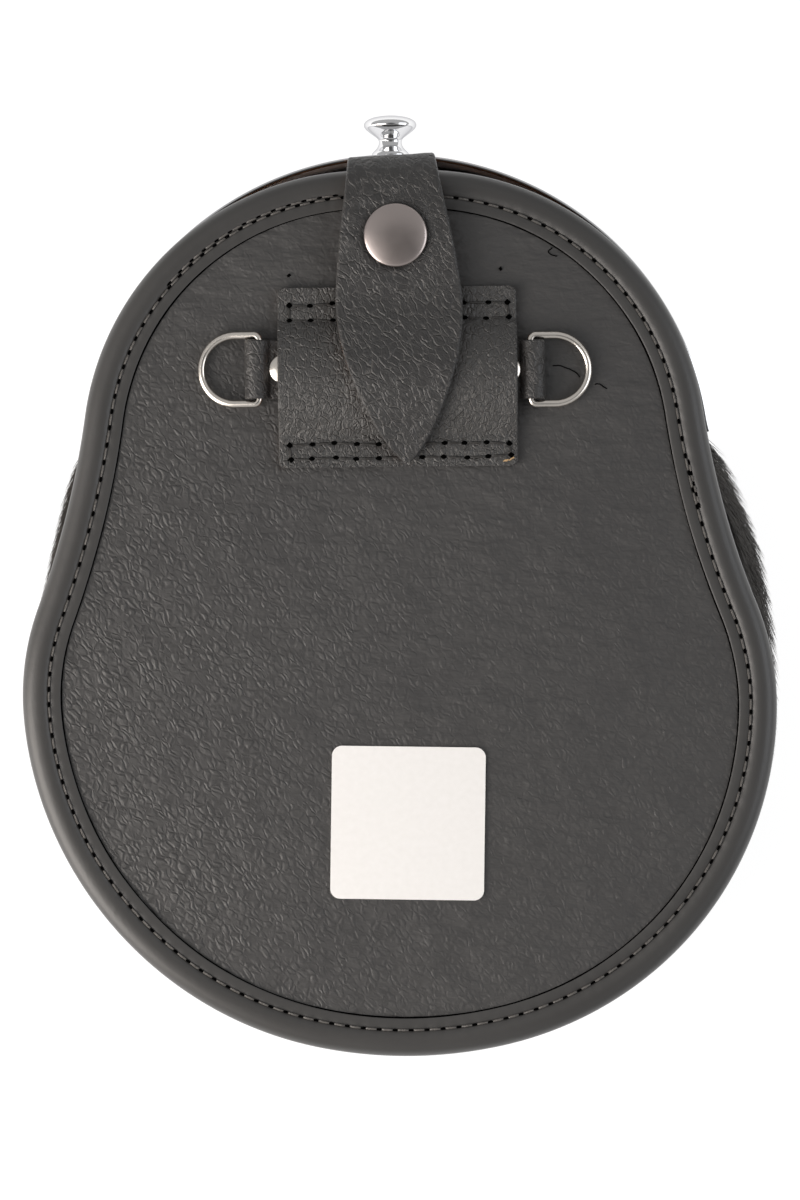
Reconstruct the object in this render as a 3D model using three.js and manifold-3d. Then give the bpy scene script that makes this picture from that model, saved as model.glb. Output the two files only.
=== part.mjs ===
// Sporran pouch: a leather back and a fur front round a hollow, under an arched metal cantle with a knob.
// It lies on its front with the back uppermost. Millimetres, +Y towards the knob, +Z out of the back.
// The origin is on the surface it lies on, under the middle of the back.

import * as THREE from "three";
import Module from "manifold-3d";

const wasm = await Module();
wasm.setup();

// Sizes shared by several pieces

const CLEARANCE = 0.3; // between neighbouring pieces
const OVERCUT = 2; // how far a cut runs past the piece it cuts

const BACK = { top: 106, face: 40, thickness: 2.2 };
const BACK_UNDER = BACK.face - BACK.thickness;
const FRONT = { top: 110.2, rim: 17 };
const BORE_TURNS = 20; // facets round a bore

// Half outlines as tangent arcs, clockwise from the middle of the top. A negative radius bends inwards.
// The base arc is worked out, so that each outline closes on the centre line.
const BACK_ARCS = [
  { part: "crown", radius: 136, turn: 5.8, steps: 2 },
  { part: "shoulder", radius: 67.5, turn: 75.9, steps: 13 },
  { part: "waist", radius: -217, turn: 12.6, steps: 5 },
  { part: "hip", radius: 63, turn: 23.9, steps: 4 },
  { part: "corner", radius: 85.6, turn: 74.9, steps: 12 },
  { part: "base", steps: 3 },
];
const FRONT_ARCS = [
  { part: "crown", radius: 76, turn: 36.7, steps: 6 },
  { part: "shoulder", radius: 74.7, turn: 44.8, steps: 8 },
  { part: "waist", radius: -25, turn: 15.6, steps: 2 },
  { part: "hip", radius: 142, turn: 25.7, steps: 7 },
  { part: "corner", radius: 82.7, turn: 38.5, steps: 7 },
  { part: "base", steps: 9 },
];

// Neither outline hangs straight: how far right it sits above and below, and the heights where this changes
const BACK_LEAN = { above: -1.1, below: 1.3, upper: 20, lower: -104 };
const FRONT_LEAN = { above: -0.7, below: 0.6, upper: 41, lower: 14 };

// Sizes of single pieces

// Section of the binding: distance in from the outer edge, and rise above the back's leather face
const BINDING_SECTION = [
  { at: "inner edge, foot", inset: 9.4, rise: 0.3 },
  { at: "inner edge, top", inset: 9.2, rise: 1.2 },
  { at: "seam", inset: 6.4, rise: 1.0 },
  { at: "roll", inset: 3.8, rise: 1.8 },
  { at: "shoulder", inset: 1.4, rise: 1.1 },
  { at: "outer edge", inset: 0, rise: -1.4 },
  { at: "underside", inset: 1.2, rise: -3.7 },
  { at: "lip", inset: 5.6, rise: -4.0 },
  { at: "lip, top", inset: 5.6, rise: -2.5 },
  { at: "fold, foot", inset: 1.9, rise: -2.5 },
  { at: "fold, top", inset: 1.9, rise: 0.3 },
];
const PANEL_INSET = 2.2;

const GUSSET = { thickness: 1.6, backInset: 6.2, frontInset: 2.2, bow: 2, rows: 4, tuck: 1 };

// Section of the fur front, from its rim round to the belly: outside and inside of the wall
const FUR_SECTION = [
  { at: "rim", inset: 1.2, height: 17, innerInset: 5.2, innerHeight: 17 + OVERCUT },
  { at: "side", inset: 0, height: 11, innerInset: 4.9, innerHeight: 11.4 },
  { at: "turn", inset: 2.2, height: 4.5, innerInset: 6.4, innerHeight: 7.6 },
  { at: "under", inset: 6.5, height: 1.2, innerInset: 9, innerHeight: 5.4 },
  { at: "belly", inset: 13, height: 0, innerInset: 14, innerHeight: 4.5 },
];

const CANTLE = { metal: 0.8, corner: 9, rim: 30, ends: 44, faceMiddle: 36, faceEnd: 13, cornerSteps: 4 };

const KNOB = { x: -1.3, height: 22, post: 1.6, reach: 2.1, turns: 28 };
// Turned profile of the knob, from its foot outwards
const KNOB_PROFILE = [
  { at: "foot", radius: 4.5, out: 0 },
  { at: "foot edge", radius: 4.3, out: 0.7 },
  { at: "flare", radius: 3.3, out: 1.8 },
  { at: "neck", radius: 2.8, out: 2.8 },
  { at: "neck top", radius: 2.8, out: 3.7 },
  { at: "cup", radius: 3.6, out: 4.6 },
  { at: "cup side", radius: 5.3, out: 6 },
  { at: "cup edge", radius: 6.1, out: 6.7 },
  { at: "rim", radius: 6.35, out: 7.3 },
  { at: "dome edge", radius: 6.1, out: 8.1 },
  { at: "dome", radius: 5.2, out: 8.85 },
  { at: "crown", radius: 2.8, out: 9.5 },
];
const KNOB_TOP = 9.7;

const SNAP = { x: -0.3, y: 89.6, dome: 1.6, shank: 1.9, turns: 36 };
// Turned profile of the snap's cap above the strap
const SNAP_PROFILE = [
  { at: "underside", radius: 7.5, rise: 0 },
  { at: "rim", radius: 7.5, rise: 0.6 },
  { at: "rim edge", radius: 6.9, rise: 0.9 },
  { at: "dome edge", radius: 5.2, rise: 1.35 },
  { at: "dome", radius: 2.6, rise: 1.55 },
];
const STUD = { foot: 5.5, footHeight: 1.2, neck: 3.2, neckHeight: 1.9, socket: 5.8, height: 3.3 };

const STRAP = { thickness: 1.8, skew: 2.4, steps: 50, edge: 0.45 };
// Centre of the strap's thickness along its run, from the mouth to its tip, with its half width
const STRAP_RUN = [
  { at: "root", y: 106.8, z: 17.8, half: 10.3 },
  { at: "inside", y: 106.8, z: 24, half: 10.3 },
  { at: "mouth", y: 106.9, z: 30.5, half: 10.3 },
  { at: "bulge", y: 108.1, z: 36, half: 10.3 },
  { at: "fold", y: 108.2, z: 39.8, half: 10.4 },
  { at: "over the edge", y: 105.4, z: 42.9, half: 10.8 },
  { at: "above the snap", y: 98.5, z: 44.6, half: 11.9 },
  { at: "snap", y: 89.6, z: 44.8, half: 13.4 },
  { at: "below the snap", y: 82, z: 44.6, half: 14.4 },
  { at: "widest", y: 74, z: 44.6, half: 15.1 },
  { at: "onto the loop", y: 66, z: 46.3, half: 14.5 },
  { at: "over the loop", y: 57, z: 48, half: 12.4 },
  { at: "down the loop", y: 48.5, z: 47, half: 9.1 },
  { at: "taper", y: 42, z: 45, half: 5.7 },
  { at: "tip", y: 37.4, z: 43.8, half: 2.4 },
  { at: "end", y: 36, z: 43.5, half: 0.9 },
];

const LOOP = { left: -28.6, right: 28.3, top: 77.6, bottom: 34.9, thickness: 1.6, steps: 28, edge: 0.4 };
// Where the belt loop's upper and lower seams hold it down, and how it rises between them
const LOOP_SEAMS = { upper: 70, lower: 42.5, rise: 4.6, fullness: 2 };

const RING = { bar: 3.4, reach: 13.8, half: 8.15, corner: 1.3, wire: 0.9, sides: 10, droop: 6.5 };
const RING_STEPS = { corner: 4, arc: 22 };
const TAB = { width: 14, length: 14, leather: 1.3, fold: 2.5, bar: 4.4, rivet: 9, bore: 1.2 };
const TAB_BAR_HEIGHT = CLEARANCE + TAB.leather + TAB.bore;
const RIVET = { radius: 3.35, rim: 0.4, shoulder: 2.35, slope: 0.88, dome: 1.1, shank: 1.4, turns: 20 };
const RING_SIDES = [
  { side: "left", foldX: -36.5, y: 58.3, turn: 0 },
  { side: "right", foldX: 34.9, y: 57.6, turn: Math.PI },
];

const LABEL = { x: 1.1, y: -49.9, lift: 0.1, skew: -1.4 };
const LABEL_PAPER = { width: 36.6, height: 36.4, corner: 2.4, thickness: 0.3 };

// Finishes

const FINISHES = {
  panelLeather: { color: 0x3a3937, roughness: 0.52, metalness: 0 },
  bindingLeather: { color: 0x3f3d3b, roughness: 0.38, metalness: 0 },
  gussetLeather: { color: 0x2a2826, roughness: 0.55, metalness: 0 },
  strapLeather: { color: 0x383735, roughness: 0.45, metalness: 0 },
  loopLeather: { color: 0x3d3b39, roughness: 0.45, metalness: 0 },
  tabLeather: { color: 0x343331, roughness: 0.45, metalness: 0 },
  fur: { color: 0x15130f, roughness: 0.75, metalness: 0 },
  chrome: { color: 0xdcdcdc, roughness: 0.08, metalness: 1 },
  nickel: { color: 0xcfc8bf, roughness: 0.2, metalness: 1 },
  gunmetal: { color: 0x77706d, roughness: 0.28, metalness: 1 },
  sticker: { color: 0xf4f2f0, roughness: 0.6, metalness: 0 },
};

// Shape tools

const radians = THREE.MathUtils.degToRad;

// Builds a closed mesh with its faces outwards, whichever way round they were listed
function closedMesh(points, faces) {
  const volume = faces.reduce((sum, [a, b, c]) => {
    const normal = new THREE.Vector3().crossVectors(points[b], points[c]);
    return sum + points[a].dot(normal);
  }, 0);
  const outward = volume < 0 ? faces.map(([a, b, c]) => [a, c, b]) : faces;
  const geometry = new THREE.BufferGeometry();
  geometry.setAttribute("position", new THREE.Float32BufferAttribute(points.flatMap((p) => p.toArray()), 3));
  geometry.setIndex(outward.flat());
  geometry.computeVertexNormals();
  return geometry;
}

// Triangles that fill a flat loop, wound the same way as the loop
function fillLoop(loop) {
  const normal = new THREE.Vector3();
  loop.forEach((p, i) => {
    normal.add(new THREE.Vector3().crossVectors(p, loop[(i + 1) % loop.length]));
  });
  normal.normalize();
  const across = new THREE.Vector3().subVectors(loop[1], loop[0]).normalize();
  const up = new THREE.Vector3().crossVectors(normal, across);
  const flat = loop.map((p) => new THREE.Vector2(p.dot(across), p.dot(up)));
  return THREE.ShapeUtils.triangulateShape(flat, []).map(([a, b, c]) => {
    const turned = THREE.ShapeUtils.area([flat[a], flat[b], flat[c]]) < 0;
    return turned ? [a, c, b] : [a, b, c];
  });
}

// Skins a row of matching loops. A ring of loops closes on itself, any other row gets a face at each end.
function loft(loops, isRing = false) {
  const size = loops[0].length;
  const faces = [];
  const spans = isRing ? loops.length : loops.length - 1;
  for (let i = 0; i < spans; i += 1) {
    const here = i * size;
    const next = ((i + 1) % loops.length) * size;
    for (let j = 0; j < size; j += 1) {
      const k = (j + 1) % size;
      faces.push([here + j, here + k, next + k], [here + j, next + k, next + j]);
    }
  }
  if (!isRing) {
    const last = (loops.length - 1) * size;
    fillLoop(loops[0]).forEach(([a, b, c]) => faces.push([a, c, b]));
    fillLoop(loops.at(-1)).forEach((face) => faces.push(face.map((v) => v + last)));
  }
  return closedMesh(loops.flat(), faces);
}

function solidOf(geometry) {
  const bare = geometry.clone();
  bare.deleteAttribute("normal");
  bare.deleteAttribute("uv");
  const welded = weld(bare);
  return new wasm.Manifold(new wasm.Mesh({
    numProp: 3,
    vertProperties: new Float32Array(welded.points.flatMap((p) => p.toArray())),
    triVerts: new Uint32Array(welded.faces.flat()),
  }));
}

// Joins points that coincide and drops the faces that this leaves without area
function weld(geometry) {
  const places = new Map();
  const points = [];
  const position = geometry.getAttribute("position");
  const numberOf = Array.from({ length: position.count }, (_, i) => {
    const point = new THREE.Vector3().fromBufferAttribute(position, i);
    const key = point.toArray().map((v) => Math.round(v * 1e4)).join();
    if (!places.has(key)) {
      places.set(key, points.length);
      points.push(point);
    }
    return places.get(key);
  });
  const order = geometry.index ? Array.from(geometry.index.array) : numberOf.map((_, i) => i);
  const faces = [];
  for (let i = 0; i < order.length; i += 3) {
    const [a, b, c] = order.slice(i, i + 3).map((v) => numberOf[v]);
    if (a !== b && b !== c && c !== a) faces.push([a, b, c]);
  }
  return { points, faces };
}

function cut(geometry, ...tools) {
  const mesh = tools.reduce((left, tool) => left.subtract(solidOf(tool)), solidOf(geometry)).getMesh();
  const result = new THREE.BufferGeometry();
  result.setAttribute("position", new THREE.Float32BufferAttribute(mesh.vertProperties, 3));
  result.setIndex(Array.from(mesh.triVerts));
  result.computeVertexNormals();
  return result;
}

// Turned piece about +Z from rows of radius and height, closed on its axis at both ends
function turned(rows, segments) {
  const profile = rows.map(([radius, z]) => new THREE.Vector2(radius, z));
  return new THREE.LatheGeometry(profile, segments).rotateX(Math.PI / 2);
}

function rod(radius, from, to, x, y) {
  const length = to - from;
  const upright = new THREE.CylinderGeometry(radius, radius, length, BORE_TURNS).rotateX(Math.PI / 2);
  return upright.translate(x, y, from + length / 2);
}

// Section of a leather strip: a rectangle with its long edges eased
function stripSection(half, thickness, edge) {
  const ease = Math.min(edge, half / 2);
  const t = thickness / 2;
  return [
    [-half, -t + ease], [-half + ease, -t], [half - ease, -t], [half, -t + ease],
    [half, t - ease], [half - ease, t], [-half + ease, t], [-half, t - ease],
  ];
}

// Outlines

function halfOutline(arcs, top) {
  const inwardAt = (heading) => new THREE.Vector2(-Math.sin(heading), -Math.cos(heading));
  const stations = [{ point: new THREE.Vector2(0, top), inward: inwardAt(0) }];
  let heading = 0;
  for (const arc of arcs) {
    const start = stations.at(-1).point;
    const remaining = Math.PI - heading;
    const radius = arc.radius ?? start.x / Math.sin(remaining);
    const turn = arc.turn ? radians(arc.turn) * Math.sign(radius) : remaining;
    const centre = start.clone().addScaledVector(inwardAt(heading), radius);
    for (let i = 1; i <= arc.steps; i += 1) {
      const inward = inwardAt(heading + (turn * i) / arc.steps);
      stations.push({ point: centre.clone().addScaledVector(inward, -radius), inward });
    }
    heading += turn;
  }
  return stations;
}

// Whole outline from the middle of the top, clockwise seen from behind
function wholeOutline(arcs, top) {
  const right = halfOutline(arcs, top);
  const left = right.slice(1, -1).reverse().map(({ point, inward }) => ({
    point: new THREE.Vector2(-point.x, point.y),
    inward: new THREE.Vector2(-inward.x, inward.y),
  }));
  return [...right, ...left];
}

function leaned(outline, { above, below, upper, lower }) {
  return outline.map(({ point, inward }) => {
    const shift = THREE.MathUtils.lerp(below, above, THREE.MathUtils.smoothstep(point.y, lower, upper));
    return { point: new THREE.Vector2(point.x + shift, point.y), inward };
  });
}

const backOutline = leaned(wholeOutline(BACK_ARCS, BACK.top), BACK_LEAN);
const frontOutline = leaned(wholeOutline(FRONT_ARCS, FRONT.top), FRONT_LEAN);

function insetPoint({ point, inward }, inset, z) {
  return new THREE.Vector3(point.x + inward.x * inset, point.y + inward.y * inset, z);
}

function insetLoop(outline, inset, z) {
  return outline.map((station) => insetPoint(station, inset, z));
}

// Leather back

function backPanel() {
  const edge = insetLoop(backOutline, PANEL_INSET, 0).map((p) => new THREE.Vector2(p.x, p.y));
  const shape = new THREE.Shape(edge);
  const plate = new THREE.ExtrudeGeometry(shape, { depth: BACK.thickness, bevelEnabled: false });
  plate.translate(0, 0, BACK_UNDER);
  const bores = RING_SIDES.map(({ foldX, y, turn }) => {
    const x = foldX + TAB.rivet * Math.cos(turn);
    return rod(RIVET.shank + CLEARANCE, BACK_UNDER - OVERCUT, BACK.face + OVERCUT, x, y);
  });
  return cut(plate, ...bores);
}

function edgeBinding() {
  const sections = backOutline.map((station) => (
    BINDING_SECTION.map(({ inset, rise }) => insetPoint(station, inset, BACK.face + rise))
  ));
  return loft(sections, true);
}

// Sides and front

const stationCount = frontOutline.length;
const cantleEnd = frontOutline.findIndex(({ point }) => point.y < CANTLE.ends);

function gusset() {
  const foot = FRONT.rim + CLEARANCE;
  const head = BACK_UNDER - CLEARANCE;
  const sections = [];
  for (let i = cantleEnd - GUSSET.tuck; i <= stationCount - cantleEnd + GUSSET.tuck; i += 1) {
    const wall = (depth) => Array.from({ length: GUSSET.rows + 1 }, (_, row) => {
      const rise = row / GUSSET.rows;
      const bow = 4 * rise * (1 - rise) * GUSSET.bow;
      const low = insetPoint(frontOutline[i], GUSSET.frontInset + depth + bow, foot);
      const high = insetPoint(backOutline[i], GUSSET.backInset + depth + bow, head);
      return low.lerp(high, rise);
    });
    sections.push([...wall(0), ...wall(GUSSET.thickness).reverse()]);
  }
  return loft(sections);
}

// Section of the cantle at one station, or of the space kept clear of the fur behind it
function cantleSection(outside, inside, face) {
  const { corner, cornerSteps, rim } = CANTLE;
  const bend = (depth) => Array.from({ length: cornerSteps + 1 }, (_, i) => {
    const angle = (i / cornerSteps) * (Math.PI / 2);
    const radius = corner - depth;
    return [corner - radius * Math.cos(angle), corner - radius * Math.sin(angle)];
  });
  const outer = [[outside, rim], ...bend(outside), [face, outside]];
  const inner = [[inside, rim], ...bend(inside), [face, inside]];
  return [...outer, ...inner.reverse()];
}

function cantleSweep(outside, inside, growth) {
  const sections = [];
  for (let i = -cantleEnd; i <= cantleEnd; i += 1) {
    const station = frontOutline[(i + stationCount) % stationCount];
    const narrowing = Math.cos((i / cantleEnd) * (Math.PI / 2));
    const face = CANTLE.faceEnd + (CANTLE.faceMiddle - CANTLE.faceEnd) * narrowing + growth;
    sections.push(cantleSection(outside, inside, face).map(([inset, z]) => insetPoint(station, inset, z)));
  }
  return loft(sections);
}

function cantle() {
  const radius = KNOB.post + CLEARANCE;
  const length = 2 * (KNOB.reach + OVERCUT);
  const bore = new THREE.CylinderGeometry(radius, radius, length, BORE_TURNS);
  return cut(cantleSweep(0, CANTLE.metal, 0), bore.translate(KNOB.x, FRONT.top, KNOB.height));
}

function furFront() {
  const outer = loft(FUR_SECTION.map((row) => insetLoop(frontOutline, row.inset, row.height)));
  const hollow = loft(FUR_SECTION.map((row) => insetLoop(frontOutline, row.innerInset, row.innerHeight)));
  const keptClear = cantleSweep(-OVERCUT, CANTLE.metal + CLEARANCE, CLEARANCE);
  return cut(outer, hollow, keptClear);
}

function cantleKnob() {
  const rows = KNOB_PROFILE.map(({ radius, out }) => [radius, out]);
  const post = [[0, -KNOB.reach], [KNOB.post, -KNOB.reach], [KNOB.post, 0]];
  return turned([...post, ...rows, [0, KNOB_TOP]], KNOB.turns);
}

// Closing strap and its snap

const strapUnder = STRAP_RUN.find(({ at }) => at === "snap").z - STRAP.thickness / 2;
const strapOver = strapUnder + STRAP.thickness;

function closingStrap() {
  const run = new THREE.CatmullRomCurve3(STRAP_RUN.map(({ y, z, half }) => new THREE.Vector3(half, y, z)));
  const across = new THREE.Vector3(1, 0, 0);
  const sections = run.getSpacedPoints(STRAP.steps).map((point, i) => {
    const along = run.getTangentAt(i / STRAP.steps).setX(0).normalize();
    const out = new THREE.Vector3().crossVectors(across, along).negate();
    const middle = new THREE.Vector3(0, point.y - SNAP.y, point.z);
    return stripSection(point.x, STRAP.thickness, STRAP.edge).map(([u, v]) => (
      middle.clone().addScaledVector(across, u).addScaledVector(out, v)
    ));
  });
  return cut(loft(sections), rod(SNAP.shank + CLEARANCE, BACK.face, strapOver + OVERCUT, 0, 0));
}

function snapCap() {
  const seat = strapOver + CLEARANCE;
  const shank = [[0, strapUnder], [SNAP.shank, strapUnder], [SNAP.shank, seat]];
  const rows = SNAP_PROFILE.map(({ radius, rise }) => [radius, seat + rise]);
  return turned([...shank, ...rows, [0, seat + SNAP.dome]], SNAP.turns);
}

function snapStud() {
  const seat = BACK.face + CLEARANCE;
  return turned([
    [0, seat], [STUD.foot, seat], [STUD.foot, seat + STUD.footHeight], [STUD.neck, seat + STUD.footHeight],
    [STUD.neck, seat + STUD.neckHeight], [STUD.socket, seat + STUD.neckHeight],
    [STUD.socket, seat + STUD.height], [0, seat + STUD.height],
  ], SNAP.turns);
}

// Belt loop

// Rise of the loop off the back between its seams
function loopRise(y) {
  const middle = (LOOP_SEAMS.upper + LOOP_SEAMS.lower) / 2;
  const offset = Math.abs(y - middle) / (LOOP_SEAMS.upper - middle);
  return LOOP_SEAMS.rise * Math.max(0, 1 - offset ** LOOP_SEAMS.fullness);
}

function beltLoop() {
  const middleX = (LOOP.left + LOOP.right) / 2;
  const half = (LOOP.right - LOOP.left) / 2;
  const sections = Array.from({ length: LOOP.steps + 1 }, (_, i) => {
    const y = THREE.MathUtils.lerp(LOOP.top, LOOP.bottom, i / LOOP.steps);
    const z = BACK.face + CLEARANCE + loopRise(y) + LOOP.thickness / 2;
    const section = stripSection(half, LOOP.thickness, LOOP.edge);
    return section.map(([u, v]) => new THREE.Vector3(middleX + u, y, z + v));
  });
  return loft(sections);
}

// Rings with their tabs and rivets, each drawn with its fold at the origin and its tail along +X

function ringTab() {
  const flatTop = CLEARANCE + 2 * TAB.leather;
  const side = new THREE.Shape();
  side.absarc(TAB.fold, TAB_BAR_HEIGHT, TAB.fold, Math.PI / 2, 1.5 * Math.PI);
  side.lineTo(TAB.length, CLEARANCE);
  side.lineTo(TAB.length, flatTop);
  side.lineTo(TAB.rivet - RIVET.radius, flatTop);
  side.lineTo(TAB.bar, TAB_BAR_HEIGHT + TAB.fold);
  const bore = new THREE.Path().absarc(RING.bar, TAB_BAR_HEIGHT, TAB.bore, 0, 2 * Math.PI);
  side.holes.push(bore);
  const tab = new THREE.ExtrudeGeometry(side, { depth: TAB.width, bevelEnabled: false, curveSegments: 10 });
  tab.rotateX(Math.PI / 2).translate(0, TAB.width / 2, 0);
  return cut(tab, rod(RIVET.shank + CLEARANCE, -OVERCUT, flatTop + OVERCUT, TAB.rivet, 0));
}

function tabRivet() {
  const seat = 2 * CLEARANCE + 2 * TAB.leather;
  return turned([
    [0, -BACK.thickness], [RIVET.shank, -BACK.thickness], [RIVET.shank, seat], [RIVET.radius, seat],
    [RIVET.radius, seat + RIVET.rim], [RIVET.shoulder, seat + RIVET.slope], [0, seat + RIVET.dome],
  ], RIVET.turns);
}

// Wire ring about its straight bar, which runs along Y through the origin
function deeRing() {
  const { corner, half, reach } = RING;
  const bends = [
    { x: -corner, y: half - corner, radius: corner, from: 0, to: 90, steps: RING_STEPS.corner },
    { x: half - reach, y: 0, radius: half, from: 90, to: 270, steps: RING_STEPS.arc },
    { x: -corner, y: corner - half, radius: corner, from: 270, to: 360, steps: RING_STEPS.corner },
  ];
  const sections = bends.flatMap(({ x, y, radius, from, to, steps }) => (
    Array.from({ length: steps + 1 }, (_, i) => {
      const angle = radians(from + ((to - from) * i) / steps);
      const outward = new THREE.Vector3(Math.cos(angle), Math.sin(angle), 0);
      const centre = new THREE.Vector3(x, y, 0).addScaledVector(outward, radius);
      return Array.from({ length: RING.sides }, (_point, j) => {
        const around = (2 * Math.PI * j) / RING.sides;
        const point = centre.clone().addScaledVector(outward, RING.wire * Math.cos(around));
        return point.setZ(RING.wire * Math.sin(around));
      });
    })
  ));
  return loft(sections, true);
}

// Label

function blankLabel() {
  const { width, height, corner, thickness } = LABEL_PAPER;
  const x = width / 2 - corner;
  const y = height / 2 - corner;
  const face = new THREE.Shape();
  face.absarc(x, y, corner, 0, Math.PI / 2);
  face.absarc(-x, y, corner, Math.PI / 2, Math.PI);
  face.absarc(-x, -y, corner, Math.PI, 1.5 * Math.PI);
  face.absarc(x, -y, corner, 1.5 * Math.PI, 2 * Math.PI);
  return new THREE.ExtrudeGeometry(face, { depth: thickness, bevelEnabled: false, curveSegments: 6 });
}

// Assembly

const pouch = new THREE.Group();
pouch.name = "sporran_pouch";

function place(parent, name, geometry, finish) {
  const mesh = new THREE.Mesh(geometry, new THREE.MeshStandardMaterial(FINISHES[finish]));
  mesh.name = name;
  parent.add(mesh);
  return mesh;
}

place(pouch, "back_panel", backPanel(), "panelLeather");
place(pouch, "edge_binding", edgeBinding(), "bindingLeather");
place(pouch, "gusset", gusset(), "gussetLeather");
place(pouch, "fur_front", furFront(), "fur");
place(pouch, "cantle", cantle(), "chrome");

const knob = place(pouch, "cantle_knob", cantleKnob(), "chrome");
knob.position.set(KNOB.x, FRONT.top + CLEARANCE, KNOB.height);
knob.rotation.x = -Math.PI / 2;

const closing = new THREE.Group();
closing.position.set(SNAP.x, SNAP.y, 0);
closing.rotation.z = radians(STRAP.skew);
place(closing, "closing_strap", closingStrap(), "strapLeather");
place(closing, "snap_cap", snapCap(), "gunmetal");
place(closing, "snap_stud", snapStud(), "gunmetal");
pouch.add(closing);

place(pouch, "belt_loop", beltLoop(), "loopLeather");

for (const { side, foldX, y, turn } of RING_SIDES) {
  const holder = new THREE.Group();
  holder.position.set(foldX, y, BACK.face);
  holder.rotation.z = turn;
  place(holder, `ring_tab_${side}`, ringTab(), "tabLeather");
  const rivet = place(holder, `rivet_${side}`, tabRivet(), "nickel");
  rivet.position.x = TAB.rivet;
  const ring = place(holder, `dee_ring_${side}`, deeRing(), "nickel");
  ring.position.set(RING.bar, 0, TAB_BAR_HEIGHT);
  ring.rotation.y = -radians(RING.droop);
  pouch.add(holder);
}

const label = place(pouch, "label", blankLabel(), "sticker");
label.position.set(LABEL.x, LABEL.y, BACK.face + LABEL.lift);
label.rotation.z = radians(LABEL.skew);

export default pouch;
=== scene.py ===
import math

import bmesh
import bpy
import numpy as np
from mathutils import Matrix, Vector, noise


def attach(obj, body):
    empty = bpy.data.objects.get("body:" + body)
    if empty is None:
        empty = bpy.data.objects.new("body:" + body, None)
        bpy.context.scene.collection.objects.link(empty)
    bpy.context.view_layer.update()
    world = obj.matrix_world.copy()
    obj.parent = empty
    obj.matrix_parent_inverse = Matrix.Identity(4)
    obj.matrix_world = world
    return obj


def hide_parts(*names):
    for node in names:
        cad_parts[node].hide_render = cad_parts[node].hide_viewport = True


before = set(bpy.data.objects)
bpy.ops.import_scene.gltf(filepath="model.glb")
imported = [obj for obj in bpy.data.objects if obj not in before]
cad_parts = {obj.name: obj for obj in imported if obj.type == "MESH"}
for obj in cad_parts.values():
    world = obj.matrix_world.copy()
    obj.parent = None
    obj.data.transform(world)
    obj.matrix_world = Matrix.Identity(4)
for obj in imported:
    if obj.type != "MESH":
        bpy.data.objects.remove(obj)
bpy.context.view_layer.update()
print("frame loaded")

mm = 0.001                       # every size below is in millimetres
rng = np.random.default_rng(11)  # one fixed seed for all scatter


# small tools shared by the pieces

def linear(hexColour):  # sRGB hex to linear colour
    parts = [int(hexColour[i:i + 2], 16) / 255 for i in (1, 3, 5)]
    return [c / 12.92 if c <= 0.04045 else ((c + 0.055) / 1.055) ** 2.4 for c in parts] + [1.0]


def addNode(tree, kind, inputs=None, **settings):
    made = tree.nodes.new("ShaderNode" + kind)
    for key, value in settings.items():
        setattr(made, key, value)
    for key, value in (inputs or {}).items():
        if isinstance(value, bpy.types.Node):
            value = value.outputs[0]
        if isinstance(value, bpy.types.NodeSocket):
            tree.links.new(value, made.inputs[key])
        else:
            made.inputs[key].default_value = value
    return made


def newMaterial(name):
    material = bpy.data.materials.new(name)
    material.use_nodes = True
    material.node_tree.nodes.clear()
    return material, material.node_tree


def smoothStep(x, low, high):
    t = np.clip((x - low) / (high - low), 0, 1)
    return t * t * (3 - 2 * t)


def lumps(points, size, shift=0.0):  # smooth noise from -1 to 1, size in mm
    offset = Vector((shift, 1.7 * shift, -0.6 * shift))
    flat = np.asarray(points, float).reshape(-1, 3)
    values = [noise.noise(Vector(p) / size + offset) for p in flat]
    return np.array(values).reshape(np.shape(points)[:-1])


def smoothPath(rows, count):  # spline through rows of numbers, evenly spaced along its length
    rows = np.asarray(rows, float)
    t = np.r_[0, np.cumsum(np.linalg.norm(np.diff(rows, axis=0), axis=1))]
    slope = np.gradient(rows, t, axis=0)
    fine = np.linspace(0, t[-1], 12 * count)
    k = np.clip(np.searchsorted(t, fine, side="right") - 1, 0, len(t) - 2)
    h = (t[k + 1] - t[k])[:, None]
    u = ((fine - t[k]) / h[:, 0])[:, None]
    curve = ((1 + 2 * u) * (1 - u) ** 2 * rows[k] + u * (1 - u) ** 2 * h * slope[k]
             + u * u * (3 - 2 * u) * rows[k + 1] + u * u * (u - 1) * h * slope[k + 1])
    s = np.r_[0, np.cumsum(np.linalg.norm(np.diff(curve, axis=0), axis=1))]
    even = np.linspace(0, s[-1], count)
    return np.stack([np.interp(even, s, column) for column in curve.T], axis=1)


def gridFaces(rows, columns, wrapRows=False, wrapColumns=False):
    i, j = np.meshgrid(np.arange(rows if wrapRows else rows - 1),
            np.arange(columns if wrapColumns else columns - 1), indexing="ij")
    k, l = (i + 1) % rows, (j + 1) % columns
    corners = [i * columns + j, i * columns + l, k * columns + l, k * columns + j]
    return np.stack(corners, axis=-1).reshape(-1, 4)


def skin(loops, ring=False):  # closed surface over a row of loops, with end faces unless it is a ring
    count, size = loops.shape[:2]
    faces = gridFaces(count, size, wrapRows=ring, wrapColumns=True).tolist()
    if not ring:
        faces += [list(range(size)), list(range((count - 1) * size, count * size))]
    return loops.reshape(-1, 3), faces


def manySkins(loops):  # one mesh from many small closed tubes, loops is (piece, ring, point, xyz)
    pieces, count, size = loops.shape[:3]
    sides = gridFaces(count, size, wrapColumns=True)
    starts = np.arange(pieces)[:, None, None] * count * size
    faces = (sides[None] + starts).reshape(-1, 4).tolist()
    ends = np.stack([np.arange(size), np.arange(size) + (count - 1) * size])
    faces += (ends[None] + starts).reshape(-1, size).tolist()
    return loops.reshape(-1, 3), faces


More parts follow.
